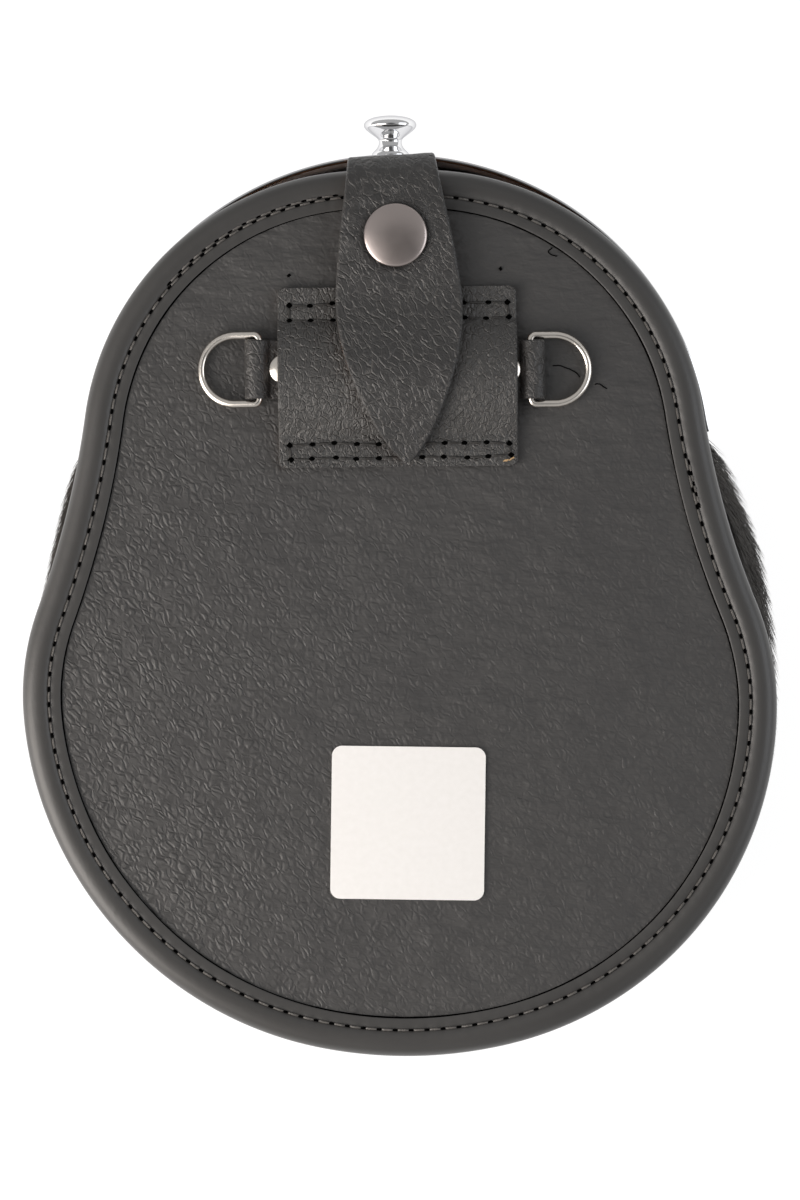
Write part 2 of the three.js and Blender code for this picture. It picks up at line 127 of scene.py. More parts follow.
def makePiece(name, shape, finish, replaced=(), body="pouch", sharp=55, second=None, secondFaces=None):
    points, faces = shape
    mesh = bpy.data.meshes.new(name)
    mesh.from_pydata((np.asarray(points) * mm).tolist(), [], faces)
    mesh.materials.append(finish)
    if second:
        mesh.materials.append(second)
        mesh.polygons.foreach_set("material_index", np.asarray(secondFaces, np.int32))
    shell = bmesh.new()
    shell.from_mesh(mesh)
    bmesh.ops.recalc_face_normals(shell, faces=shell.faces)
    shell.to_mesh(mesh)
    shell.free()
    mesh.shade_smooth()
    mesh.set_sharp_from_angle(angle=math.radians(sharp))
    piece = bpy.data.objects.new(name, mesh)
    bpy.context.scene.collection.objects.link(piece)
    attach(piece, body)
    if replaced:
        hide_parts(*replaced)
    print("made", name, len(mesh.polygons), "faces")
    return piece


# outlines: half as tangent arcs of radius and turn from the middle of the top, a minus bends inwards
# the lean is how far right it sits above and below, and the heights where this changes

backShape = {"top": 106.0, "arcs": [(136, 5.8), (67.5, 75.9), (-217, 12.6), (63, 23.9), (85.6, 74.9)],
        "lean": {"above": -1.1, "below": 1.3, "upper": 20, "lower": -104}}
frontShape = {"top": 110.2, "arcs": [(76, 36.7), (74.7, 44.8), (-25, 15.6), (142, 25.7), (82.7, 38.5)],
        "lean": {"above": -0.7, "below": 0.6, "upper": 41, "lower": 14}}


def outline(shape, count):
    x, y, heading = 0.0, shape["top"], 0.0
    xs, ys, headings = [x], [y], [heading]
    for radius, turn in shape["arcs"] + [(None, None)]:
        left = math.pi - heading
        radius = radius or x / math.sin(left)
        swing = left if turn is None else math.radians(turn) * np.sign(radius)
        turned = heading + swing * np.linspace(0, 1, 200)[1:]
        xs += list(x + radius * (np.sin(turned) - math.sin(heading)))
        ys += list(y + radius * (np.cos(turned) - math.cos(heading)))
        headings += list(turned)
        x, y, heading = xs[-1], ys[-1], headings[-1]
    right = np.array([xs, ys, headings]).T
    mirrored = right[-2:0:-1] * [-1, 1, -1] + [0, 0, 2 * math.pi]
    loop = np.vstack([right, mirrored, [[0, shape["top"], 2 * math.pi]]])
    s = np.r_[0, np.cumsum(np.hypot(*np.diff(loop[:, :2], axis=0).T))]
    even = np.linspace(0, s[-1], count, endpoint=False)
    x, y, heading = (np.interp(even, s, column) for column in loop.T)
    lean = shape["lean"]
    x = x + lean["below"] + (lean["above"] - lean["below"]) * smoothStep(y, lean["lower"], lean["upper"])
    return {"xy": np.stack([x, y], 1), "inward": np.stack([-np.sin(heading), -np.cos(heading)], 1),
            "along": even, "length": s[-1]}


def onOutline(loop, values, at):  # values round an outline, read at lengths along it
    along = np.r_[loop["along"], loop["length"]]
    closed = np.vstack([values, values[:1]])
    return np.stack([np.interp(at % loop["length"], along, column) for column in closed.T], -1)


def sweep(loop, sections):  # sections (station, point, [inset, height]) set round an outline
    xy = loop["xy"][:, None] + loop["inward"][:, None] * sections[..., :1]
    return np.concatenate([xy, sections[..., 1:]], axis=-1)


# materials

# how the hide lies: where the grain fades (left to right and upward, in mm), its waves, and how patchy it is
hideLie = {"across": (-70, 15), "upward": (35, 80), "fadeSpan": 0.22, "waveTurn": -12,
           "waveStretch": (0.4, 1.0, 1.0), "tautest": 1.15, "patchSpread": 0.8, "patchLeast": 0.6}


def leather(name, look):
    # hide with rounded pebbles, grooves between them and soft folds: low light picks out one flank of each
    material, tree = newMaterial(name)
    place = addNode(tree, "TexCoord").outputs["Object"]
    warp = addNode(tree, "TexNoise", {"Vector": place, "Scale": 1000 / look["warpSize"], "Detail": 2})
    bend = addNode(tree, "VectorMath", {0: warp.outputs["Color"], 1: (0.5, 0.5, 0.5)},
            operation="SUBTRACT")
    moved = addNode(tree, "VectorMath", {0: bend, 1: (look["warp"] * mm,) * 3, 2: place},
            operation="MULTIPLY_ADD")
    lie = addNode(tree, "Mapping", {"Vector": moved,
            "Rotation": (0, 0, math.radians(look["lean"]))})
    drawn = addNode(tree, "Mapping", {"Vector": lie, "Scale": look["stretch"]})
    cells = addNode(tree, "TexVoronoi", {"Vector": drawn, "Scale": 1000 / look["pebble"]},
            feature=look["cells"])
    folds = addNode(tree, "TexNoise", {"Vector": drawn, "Scale": 1000 / look["fold"],
            "Detail": 4, "Roughness": 0.55, "Distortion": 0.4})
    pores = addNode(tree, "TexNoise", {"Vector": place, "Scale": 1000 / look["pore"], "Detail": 3})
    patchy = addNode(tree, "TexNoise", {"Vector": place, "Scale": 1000 / look["patch"], "Detail": 2})
    # the grooves come and go, from their shoulder to their floor in shares of a pebble
    dip = addNode(tree, "MapRange", {"Value": cells, "From Min": look["shoulder"],
            "From Max": look["grooveFloor"]}, interpolation_type="SMOOTHSTEP")
    broken = addNode(tree, "MapRange", {"Value": folds, "From Min": look["fades"],
            "From Max": look["fades"] + hideLie["fadeSpan"]})
    crease = addNode(tree, "Math", {0: dip, 1: broken}, operation="MULTIPLY")
    # the grain, and the painted crease shading mixed in below, is fullest at the lower left, where the light
    # falls strongest
    side = addNode(tree, "SeparateXYZ", {"Vector": place})
    (left, right), (low, high) = hideLie["across"], hideLie["upward"]
    leftFullness = addNode(tree, "MapRange", {"Value": side.outputs["X"], "From Min": left * mm,
            "From Max": right * mm, "To Min": 1.0, "To Max": look["tight"]})
    upper = addNode(tree, "MapRange", {"Value": side.outputs["Y"], "From Min": low * mm,
            "From Max": high * mm, "To Min": 1.0, "To Max": look["topShare"]})
    lowerLeftFullness = addNode(tree, "Math", {0: leftFullness, 1: upper}, operation="MULTIPLY")
    # level waves show where the grain is pulled flat
    level = addNode(tree, "Mapping", {"Vector": place, "Scale": hideLie["waveStretch"],
            "Rotation": (0, 0, math.radians(hideLie["waveTurn"]))})
    waves = addNode(tree, "TexNoise", {"Vector": level, "Scale": 1000 / look["wave"],
            "Detail": 3})
    taut = addNode(tree, "Math", {0: hideLie["tautest"], 1: lowerLeftFullness}, operation="SUBTRACT")
    swell = addNode(tree, "Math", {0: waves, 1: taut}, operation="MULTIPLY")
    depth = addNode(tree, "Math", {0: patchy, 1: hideLie["patchSpread"],
            2: hideLie["patchLeast"]}, operation="MULTIPLY_ADD")
    full = addNode(tree, "Math", {0: depth, 1: lowerLeftFullness}, operation="MULTIPLY")
    soft = addNode(tree, "Math", {0: folds, 1: look["foldShare"]}, operation="MULTIPLY")
    bumps = addNode(tree, "Math", {0: crease, 1: -look["creaseShare"], 2: soft},
            operation="MULTIPLY_ADD")
    grain = addNode(tree, "Math", {0: bumps, 1: full}, operation="MULTIPLY")
    waved = addNode(tree, "Math", {0: swell, 1: look["waveShare"], 2: grain},
            operation="MULTIPLY_ADD")
    height = addNode(tree, "Math", {0: pores, 1: look["poreShare"], 2: waved},
            operation="MULTIPLY_ADD")
    bump = addNode(tree, "Bump", {"Height": height, "Strength": 1.0,
            "Distance": look["depth"] * mm})
    ground = addNode(tree, "Mix", {"Factor": patchy, 6: linear(look["dark"]),
            7: linear(look["light"])}, data_type="RGBA")
    # painted shade and highlight: the crease colour is mixed into the grooves by creaseTone, dark as painted
    # shade on the pebbled cowhide, pale as painted highlight on the creased and wrinkled calf
    deep = addNode(tree, "Math", {0: crease, 1: full}, operation="MULTIPLY")
    creaseShading = addNode(tree, "Math", {0: deep, 1: look["creaseTone"]}, operation="MULTIPLY")
    tone = addNode(tree, "Mix", {"Factor": creaseShading, 6: ground.outputs[2],
            7: linear(look["crease"])}, data_type="RGBA")
    shader = addNode(tree, "BsdfPrincipled", {"Base Color": tone.outputs[2], "IOR": 1.5,
            "Roughness": look["rough"], "Normal": bump})
    addNode(tree, "OutputMaterial", {"Surface": shader})
    return material


# embossed cowhide, drum dyed: pebbles about 2 mm across with thin creases darkened by painted shade, drawn out
# down to the right
pebbledHide = leather("pebble-embossed cowhide", {
    "dark": "#3f3e3e", "light": "#494847", "crease": "#1a1919", "creaseTone": 0.4, "rough": 0.47,
    "pebble": 1.95, "cells": "DISTANCE_TO_EDGE", "shoulder": 0.33, "grooveFloor": 0.0, "fades": 0.32,
    "creaseShare": 0.36, "fold": 2.6, "foldShare": 1.1, "pore": 0.8, "poreShare": 0.08, "warpSize": 4.0,
    "warp": 2.8, "stretch": (1.35, 0.8, 1.0), "lean": -38, "patch": 40.0, "tight": 0.4, "topShare": 0.35,
    "wave": 4.2, "waveShare": 2.8, "depth": 0.45})
# smooth glazed calf, folded and pressed: only hair pores and faint pulls
glazedCalf = leather("smooth glazed calf", {
    "dark": "#3c3b3a", "light": "#464544", "crease": "#1c1b1b", "creaseTone": 0.0, "rough": 0.4,
    "pebble": 1.1, "cells": "SMOOTH_F1", "shoulder": 0.15, "grooveFloor": 0.7, "fades": 0.3,
    "creaseShare": 0.2, "fold": 1.2, "foldShare": 0.5, "pore": 0.7, "poreShare": 0.4, "warpSize": 3.0,
    "warp": 0.8, "stretch": (1.0, 1.0, 1.0), "lean": 0, "patch": 30.0, "tight": 0.8, "topShare": 1.0,
    "wave": 5.0, "waveShare": 0.5, "depth": 0.06})
# soft calf creased by bending: pale lines of painted highlight between long pebbles that run down to the right
creasedCalf = leather("soft creased calf", {
    "dark": "#323131", "light": "#3c3b3a", "crease": "#85817d", "creaseTone": 0.2, "rough": 0.4,
    "pebble": 2.5, "cells": "DISTANCE_TO_EDGE", "shoulder": 0.14, "grooveFloor": 0.0, "fades": 0.4,
    "creaseShare": 0.6, "fold": 1.6, "foldShare": 0.9, "pore": 0.6, "poreShare": 0.2, "warpSize": 3.6,
    "warp": 2.6, "stretch": (1.5, 0.7, 1.0), "lean": -38, "patch": 16.0, "tight": 0.9, "topShare": 0.8,
    "wave": 4.0, "waveShare": 0.5, "depth": 0.6})
# soft calf pulled tight between seams: fine upright wrinkles, their creases lightened by painted highlight
wrinkledCalf = leather("soft wrinkled calf", {
    "dark": "#3d3c3b", "light": "#484746", "crease": "#6b6865", "creaseTone": 0.35, "rough": 0.4,
    "pebble": 1.7, "cells": "DISTANCE_TO_EDGE", "shoulder": 0.14, "grooveFloor": 0.0, "fades": 0.38,
    "creaseShare": 0.45, "fold": 1.4, "foldShare": 0.9, "pore": 0.6, "poreShare": 0.2, "warpSize": 3.4,
    "warp": 2.0, "stretch": (1.3, 0.8, 1.0), "lean": 4, "patch": 16.0, "tight": 1.0, "topShare": 1.0,
    "wave": 4.0, "waveShare": 0.5, "depth": 0.7})


def fibrous(name, look):
    # one fine noise, its size in mm, gives the tone and the nap of suede, thread, hair and paper
    material, tree = newMaterial(name)
    place = addNode(tree, "TexCoord").outputs["Object"]
    fibre = addNode(tree, "TexNoise", {"Vector": place, "Scale": 1000 / look["size"],
            "Detail": look["detail"]})
    tone = addNode(tree, "Mix", {"Factor": fibre, 6: linear(look["dark"]),
            7: linear(look["light"])}, data_type="RGBA")
    bump = addNode(tree, "Bump", {"Height": fibre, "Strength": look["strength"],
            "Distance": look["depth"] * mm})
    shader = addNode(tree, "BsdfPrincipled", {
        "Base Color": tone.outputs[2], "Roughness": look["rough"], "IOR": look["ior"], "Normal": bump,
        "Sheen Weight": look["sheen"]})
    addNode(tree, "OutputMaterial", {"Surface": shader})
    return material


# flesh side of the hide, brown and matt with a short nap
suede = fibrous("napped flesh side of hide", {
    "dark": "#7a5138", "light": "#a87853", "size": 0.8, "detail": 4, "strength": 0.5, "depth": 0.2,
    "rough": 0.92, "ior": 1.45, "sheen": 0.3})
# bonded thread, waxed: plies 0.5 mm apart give a soft broken shine, from their bump and from painted highlight
# in the lighter end of their tone
waxed = {"size": 0.5, "detail": 1, "strength": 0.5, "depth": 0.12, "rough": 0.4, "ior": 1.5, "sheen": 0.0}
greyThread = fibrous("waxed bonded thread, grey with painted ply highlights", {"dark": "#2e2d2c", "light": "#7d7975", **waxed})
blackThread = fibrous("waxed bonded thread, black", {"dark": "#100f0f", "light": "#4a4846", **waxed})
undyedThread = fibrous("undyed linen thread, frayed", {"dark": "#a98a64", "light": "#d8b98e", **waxed})
# short straight guard hair: near black, with a wet-looking shine along the lie; its paler streaks every 2 mm
# are painted sheen
combed = {"size": 2.0, "detail": 3, "strength": 0.3, "depth": 0.3, "rough": 0.4, "ior": 1.55, "sheen": 0.0}
guardHair = fibrous("seal guard hair", {"dark": "#171513", "light": "#58534e", **combed})
underHide = fibrous("dark under-fur", {"dark": "#060505", "light": "#0f0d0b", **combed})
# coated sticker paper: white, smooth, with a trace of fibre, drawn coarser than it is so that it shows
stickerPaper = fibrous("coated sticker paper", {
    "dark": "#efedea", "light": "#f8f6f4", "size": 1.5, "detail": 4, "strength": 0.1, "depth": 0.05,
    "rough": 0.55, "ior": 1.5, "sheen": 0.0})

# matt black, used as painted shade: the dark inside of needle holes and other small recesses
matteBlack, holeTree = newMaterial("matt black, painted hole shade")
holeShader = addNode(holeTree, "BsdfPrincipled", {"Base Color": linear("#020202"), "Roughness": 1.0,
        "IOR": 1.1})
addNode(holeTree, "OutputMaterial", {"Surface": holeShader})


def plated(name, look):
    # electroplated metal: smooth film, greyer at its edges, with a faint handling haze in its gloss
    material, tree = newMaterial(name)
    place = addNode(tree, "TexCoord").outputs["Object"]
    haze = addNode(tree, "TexNoise", {"Vector": place, "Scale": 1000 / look["haze"], "Detail": 3})
    gloss = addNode(tree, "MapRange", {
        "Value": haze, "From Min": 0.3, "From Max": 0.7, "To Min": look["rough"],
        "To Max": look["rough"] + look["spread"]})
    shader = addNode(tree, "BsdfPrincipled", {
        "Base Color": linear(look["colour"]), "Metallic": 1.0, "Specular Tint": linear(look["edge"]),
        "Roughness": gloss})
    addNode(tree, "OutputMaterial", {"Surface": shader})
    return material


chromePlate = plated("polished chromium plate", {
    "colour": "#f1f1f2", "edge": "#d0d0d2", "rough": 0.05, "spread": 0.05, "haze": 9.0})
nickelPlate = plated("tumbled nickel plate", {
    "colour": "#f3ece3", "edge": "#e6e2dc", "rough": 0.2, "spread": 0.08, "haze": 5.0})
blackNickel = plated("satin black nickel", {
    "colour": "#beb3af", "edge": "#b6aca8", "rough": 0.28, "spread": 0.05, "haze": 4.0})
print("materials ready")


# camera and light

camera = {"height": 1200, "centre": (-0.2, 3.2, 40.0), "span": 285.6, "roll": -0.646}
lens = bpy.data.cameras.new("photo camera")
lens.lens = lens.sensor_width * camera["height"] / camera["span"]
eye = bpy.data.objects.new("photo camera", lens)
eye.location = (Vector(camera["centre"]) + Vector((0, 0, camera["height"]))) * mm
eye.rotation_euler = (0, 0, math.radians(camera["roll"]))
bpy.context.scene.collection.objects.link(eye)
bpy.context.scene.camera = eye

lamps = {
    "low left softbox": {"at": (-410, -190, 230), "size": 400, "power": 3.0, "colour": "#fff7f0"},
    "high left softbox": {"at": (-480, -160, 760), "size": 420, "power": 1.2, "colour": "#fffaf5"},
    "right softbox": {"at": (520, 20, 350), "size": 400, "power": 0.9, "colour": "#f6f9ff"},
}
for lampName, lamp in lamps.items():
    light = bpy.data.lights.new(lampName, "AREA")
    light.energy, light.size, light.color = lamp["power"], lamp["size"] * mm, linear(lamp["colour"])[:3]
    lampObject = bpy.data.objects.new(lampName, light)
    lampObject.location = Vector(lamp["at"]) * mm
    lampObject.rotation_euler = (-Vector(lamp["at"])).to_track_quat("-Z", "Y").to_euler()
    bpy.context.scene.collection.objects.link(lampObject)

# a white tent, bright round the sides and dark about the opening that the camera looks through
tent = {"side": 0.4, "opening": 0.08, "axis": (0.08, -0.16, 0.98), "dimsFrom": 0.89, "dimsTo": 1.0}
world = bpy.data.worlds.new("white light tent")
world.use_nodes = True
sky = world.node_tree
toOpening = addNode(sky, "VectorMath", {0: addNode(sky, "TexCoord").outputs["Generated"],
        1: tent["axis"]}, operation="DOT_PRODUCT")
tentLight = addNode(sky, "MapRange", {
    "Value": toOpening.outputs["Value"], "From Min": tent["dimsFrom"], "From Max": tent["dimsTo"],
    "To Min": tent["side"], "To Max": tent["opening"]}, interpolation_type="SMOOTHSTEP")
sky.links.new(tentLight.outputs[0], sky.nodes["Background"].inputs["Strength"])
sky.nodes["Background"].inputs["Color"].default_value = linear("#ffffff")
bpy.context.scene.world = world
bpy.context.scene.view_settings.view_transform = "Standard"

# white sweep, lit through from below as a light table is
sweepLook = {"colour": "#707070", "glow": 0.93, "half": 4.0}
floorMaterial, floorTree = newMaterial("opal acrylic light table")
floorShader = addNode(floorTree, "BsdfPrincipled", {
    "Base Color": linear(sweepLook["colour"]), "Roughness": 0.9, "Emission Color": linear("#ffffff"),
    "Emission Strength": sweepLook["glow"]})
addNode(floorTree, "OutputMaterial", {"Surface": floorShader})
floorMesh = bpy.data.meshes.new("floor")
reach = sweepLook["half"]
floorCorners = [(x * reach, y * reach, 0) for x, y in ((-1, -1), (1, -1), (1, 1), (-1, 1))]
floorMesh.from_pydata(floorCorners, [], [(0, 1, 2, 3)])
floorMesh.materials.append(floorMaterial)
floor = bpy.data.objects.new("floor", floorMesh)
bpy.context.scene.collection.objects.link(floor)
print("camera and light ready")


# back panel

panel = {"face": 40.0, "thickness": 2.2, "inset": 2.3, "rows": 250, "columns": 230, "underColumns": 6,
         "sag": 0.3, "sagMean": 0.6, "sagSpread": 0.5, "sagSize": 38.0, "wrinkle": 0.13, "wrinkleSize": 7.0,
         "drawnOut": ((0.9, 0.4), (-0.35, 0.7)), "endAngle": 0.02, "evenShare": 0.65}


def makePanel():
    loop = outline(backShape, 1200)
    edge = loop["xy"] + loop["inward"] * panel["inset"]
    low, high = edge[:, 1].min(), edge[:, 1].max()
    turn = np.linspace(panel["endAngle"], math.pi - panel["endAngle"], panel["rows"])
    y = (high + low) / 2 + (high - low) / 2 * np.cos(turn)
    rightEdge, leftEdge = edge[:601], edge[600:]
    right = np.interp(-y, -rightEdge[:, 1], rightEdge[:, 0])
    left = np.interp(y, leftEdge[:, 1], leftEdge[:, 0])

    def rows(count):
        even = np.linspace(0, 1, count)
        eased = (1 - np.cos(math.pi * even)) / 2  # closer together at the sides
        across = panel["evenShare"] * even + (1 - panel["evenShare"]) * eased
        x = left[:, None] + (right - left)[:, None] * across
        return np.stack([x, np.repeat(y[:, None], count, 1), np.zeros((len(y), count))], -1)

    top, under = rows(panel["columns"]), rows(panel["underColumns"])[:, ::-1]
    topX, topY, topZ = np.moveaxis(top, -1, 0)
    drawn = np.stack([a * topX + b * topY for a, b in panel["drawnOut"]] + [topZ], -1)
    sag = panel["sag"] * (panel["sagMean"] + panel["sagSpread"] * lumps(top, panel["sagSize"], 3.0))
    top[..., 2] = panel["face"] - sag + panel["wrinkle"] * lumps(drawn, panel["wrinkleSize"], 7.0)
    under[..., 2] = panel["face"] - panel["thickness"]
    shape = skin(np.concatenate([top, under], axis=1))
    column = np.arange(panel["columns"] + panel["underColumns"])
    inside = np.tile(column >= panel["columns"] - 1, panel["rows"] - 1)
    makePiece("back_leather", shape, pebbledHide, ["back_panel"],
              second=suede, secondFaces=np.r_[inside, True, True])


makePanel()


# sewing: share of a stitch left clear at each hole, a thread's waist there, and how blunt a hole's ends are

sewing = {"gap": 0.08, "waist": 0.7, "holeEnd": 0.06}


def tubes(lines, radii, sides=6):  # round threads along lines (line, point, xyz), radii one for each point
    run = np.gradient(lines, axis=1)
    run /= np.linalg.norm(run, axis=2)[..., None]
    side = np.cross(run, [0, 0, 1.0])
    side /= np.linalg.norm(side, axis=2)[..., None]
    over = np.cross(side, run)
    angle = 2 * math.pi * np.arange(sides) / sides
    ring = side[:, :, None] * np.cos(angle)[:, None] + over[:, :, None] * np.sin(angle)[:, None]
    return lines[:, :, None] + ring * np.asarray(radii)[..., None, None]


# the black tubes at the holes are painted shade in the holes' mouths
def stitches(holes, look, closed=False):  # threads that dip into each hole, and the dark mouths of the holes
    starts = holes if closed else holes[:-1]
    ends = np.roll(holes, -1, axis=0) if closed else holes[1:]
    t = np.linspace(0, 1, 9)
    arch = np.sin(math.pi * t) ** 0.5
    along = sewing["gap"] + (1 - 2 * sewing["gap"]) * t
    lines = starts[:, None] + (ends - starts)[:, None] * along[None, :, None]
    lines[..., 2] += look["proud"] * arch - look["thread"]
    radii = look["thread"] * (sewing["waist"] + (1 - sewing["waist"]) * arch)
    sewn = tubes(lines, np.repeat([radii], len(lines), 0))
    run = np.gradient(holes, axis=0)
    run /= np.linalg.norm(run, axis=1)[:, None]
    reach = np.linspace(-0.5, 0.5, 5)
    mouths = holes[:, None] + run[:, None] * (reach * look["hole"])[None, :, None]
    mouths[..., 2] += look["holeRise"]
    thick = look["holeWidth"] / 2 * np.sqrt(np.maximum(1 - (2 * reach) ** 2, sewing["holeEnd"]))
    return sewn, tubes(mouths, np.repeat([thick], len(mouths), 0))


def makeSeam(name, rows, look, thread):  # rows of (holes, closed)
    sewn, mouths = zip(*[stitches(holes, look, closed) for holes, closed in rows])
    makePiece(name + "_stitches", manySkins(np.concatenate(sewn)), thread)
    makePiece(name + "_holes", manySkins(np.concatenate(mouths)), matteBlack)


# marks on the panel in matt black: an awl prick above each end of the belt loop, its black painted shade in the
# prick, a thread end and two short dark lines
panelMarks = {"radius": 0.13, "paths": [
    [(36.9, 86.6), (36.0, 85.7), (36.9, 84.9), (38.1, 84.7)],
    [(36.9, 58.6), (38.4, 58.6), (39.9, 58.0), (41.4, 57.4), (42.7, 56.5), (43.3, 55.7)],
    [(46.7, 54.0), (47.7, 54.1), (48.7, 53.5), (49.6, 52.9)]]}
awlPricks = {"radius": 0.5, "length": 0.3, "at": [(-25.8, 80.7), (24.6, 81.8)]}


def makeMarks():
    lines = [smoothPath(path, 12) for path in panelMarks["paths"]]
    radii = [np.full(12, panelMarks["radius"])] * len(lines)
    for x, y in awlPricks["at"]:
        lines.append(np.column_stack([x + np.linspace(-0.5, 0.5, 12) * awlPricks["length"], np.full(12, y)]))
        radii.append(awlPricks["radius"] * np.sin(np.linspace(0.3, math.pi - 0.3, 12)))
    lines = np.array([np.column_stack([line, np.full(12, panel["face"] - 0.1)]) for line in lines])
    lines[..., :2] += rng.normal(0, 0.06, lines[..., :2].shape)
    makePiece("panel_marks", manySkins(tubes(lines, radii)), matteBlack)


makeMarks()


# edge binding and its seam

binding = {"stations": 1200, "seam": 6.4, "pitch": 4.05, "dimple": 0.14, "dimpleLength": 0.8, "pucker": 0.05,
           "puckerSize": 2.2, "width": 0.2, "widthSize": 26.0, "roll": 0.12, "rollSize": 18.0, "seamPull": 0.7,
           "again": {"outward": 0.7, "pitch": 0.93, "before": 64, "until": 14},
           "tack": {"outward": 0.6, "pitch": 2.2, "first": 115, "last": 125}, "restitchRise": 0.92}
bindingSeam = {"thread": 0.28, "proud": 0.42, "hole": 1.7, "holeWidth": 0.6, "holeRise": 0.06}
# inset from the outer edge and rise above the panel's face, round the folded strip
bindingFold = [
    (9.52, 0.02), (9.42, 0.34), (9.22, 0.52), (8.8, 0.62), (8.0, 0.7), (7.1, 0.78), (6.75, 0.72), (6.4, 0.6),
    (6.05, 0.84), (5.6, 1.16), (4.8, 1.42), (3.8, 1.52), (2.8, 1.45), (1.9, 1.18), (1.1, 0.62), (0.42, -0.3),
    (0.05, -1.4), (0.25, -2.5), (0.8, -3.35), (1.7, -3.82), (3.2, -3.98), (5.3, -4.0), (5.6, -3.8),
    (5.6, -2.75), (5.3, -2.52), (2.4, -2.52), (1.95, -2.3), (1.92, -0.3), (2.4, 0.02), (6.0, 0.05)]


def seamHoles(loop, seam, pitch, rise, first=0.0, last=None):
    length = loop["length"] if last is None else last
    count = int(round((length - first) / pitch))
    marks = np.linspace(first, length, count, endpoint=last is not None)
    xy = onOutline(loop, loop["xy"] + loop["inward"] * seam, marks)
    return np.column_stack([xy, np.full(len(xy), panel["face"] + rise)]), marks


def makeBinding():
    loop = outline(backShape, binding["stations"])
    fold = np.array(bindingFold)
    sections = np.repeat(fold[None], binding["stations"], 0)
    holes, marks = seamHoles(loop, binding["seam"], binding["pitch"], 0.8)
    half = binding["pitch"] / 2
    gap = np.abs((loop["along"][:, None] - marks[None] + half) % binding["pitch"] - half).min(1)
    onSeam = np.exp(-((fold[:, 0] - binding["seam"]) / binding["seamPull"]) ** 2) * (fold[:, 1] > 0.5)
    upper = smoothStep(fold[:, 1], -1.5, 0.6)
    stations = np.column_stack([loop["xy"], np.zeros(binding["stations"])])
    width = binding["width"] * lumps(stations, binding["widthSize"], 5.0)
    roll = binding["roll"] * lumps(stations, binding["rollSize"], 9.0)
    pulls = lumps(stations, binding["puckerSize"], 2.0) * binding["pucker"]
    sections[..., 0] += width[:, None] * smoothStep(fold[:, 0], 6.5, 9.4) * (fold[:, 1] > 0.1)
    sections[..., 1] += (roll[:, None] + pulls[:, None] * smoothStep(fold[:, 0], 1.0, 6.0)) * upper
    sections[..., 1] -= binding["dimple"] * np.exp(-(gap / binding["dimpleLength"]) ** 2)[:, None] * onSeam
    sections[..., 1] += panel["face"]
    # the raw inner edge is drawn in the matt black: black edge stain together with painted shade in the step
    # down to the panel
    cut = np.tile(np.arange(len(fold)) < 2, binding["stations"])  # raw inner edge
    makePiece("binding_roll", skin(sweep(loop, sections), ring=True), glazedCalf,
              ["edge_binding"], second=matteBlack, secondFaces=cut)
    holes[:, 2] += onOutline(loop, roll[:, None], marks)[:, 0]
    # the seam is sewn twice where it starts, to the left of the strap, and is tacked on the right
    length = loop["length"]
    second, tacking, rise = binding["again"], binding["tack"], binding["restitchRise"]
    again, _ = seamHoles(loop, binding["seam"] - second["outward"], binding["pitch"] * second["pitch"], rise,
            length - second["before"], length - second["until"])
    tack, _ = seamHoles(loop, binding["seam"] - tacking["outward"], tacking["pitch"], rise,
            tacking["first"], tacking["last"])
    rows = [(holes, True), (again, False), (tack, False)]
    makeSeam("binding", rows, bindingSeam, greyThread)


makeBinding()


# gusset

gussetWall = {"stations": 420, "rows": 15, "thickness": 1.6, "bow": 2.0, "pleat": 0.5, "pleatSize": 9.0,
        "upright": (1, 1, 0.25),
        "front": {"inset": 2.2, "height": 17.3, "starts": 107.1},
        "back": {"inset": 6.2, "height": 37.5, "starts": 96.3}}


def makeGusset():
    share = np.linspace(0, 1, gussetWall["stations"])
    rise = np.linspace(0, 1, gussetWall["rows"])
    loops = []
    for depth in (0.0, gussetWall["thickness"]):
        walls = []
        for shape, end in ((frontShape, gussetWall["front"]), (backShape, gussetWall["back"])):
            loop = outline(shape, 1200)
            at = end["starts"] + (loop["length"] - 2 * end["starts"]) * share
            inward = onOutline(loop, loop["inward"], at)
            xy = onOutline(loop, loop["xy"], at) + inward * (end["inset"] + depth)
            walls.append((np.column_stack([xy, np.full(len(xy), end["height"])]), inward))
        (low, lowIn), (high, highIn) = walls
        wall = low[:, None] * (1 - rise[None, :, None]) + high[:, None] * rise[None, :, None]
        bow = 4 * rise * (1 - rise) * gussetWall["bow"]
        pleats = gussetWall["pleat"] * lumps(wall * gussetWall["upright"], gussetWall["pleatSize"], 4.0)
        pleats *= np.sin(math.pi * rise)
        wall[..., :2] += (lowIn + highIn)[:, None] / 2 * (bow + pleats)[..., None]
        loops.append(wall if depth == 0 else wall[:, ::-1])
    shape = skin(np.concatenate(loops, axis=1))
    inside = np.tile(np.arange(2 * gussetWall["rows"]) >= gussetWall["rows"], gussetWall["stations"] - 1)
    makePiece("gusset_wall", shape, glazedCalf, ["gusset"], second=suede,
              secondFaces=np.r_[inside, False, False])


makeGusset()


# cantle

cantleRim = {"metal": 0.8, "corner": 9.0, "rim": 30.0, "faceMiddle": 36.0, "faceEnd": 13.0, "stations": 300,
        "endLength": 110.5, "ease": 0.28}


def cantleLine(count):  # stations along the crown from the left end to the right one
    loop = outline(frontShape, 2400)
    at = np.linspace(-cantleRim["endLength"], cantleRim["endLength"], count)
    narrowing = np.cos(np.linspace(-1, 1, count) * math.pi / 2)
    face = cantleRim["faceEnd"] + (cantleRim["faceMiddle"] - cantleRim["faceEnd"]) * narrowing
    return {"xy": onOutline(loop, loop["xy"], at), "inward": onOutline(loop, loop["inward"], at)}, face


def cantleEdge():  # lower edge of the cantle's face, left to right
    line, face = cantleLine(120)
    return line["xy"] + line["inward"] * face[:, None]


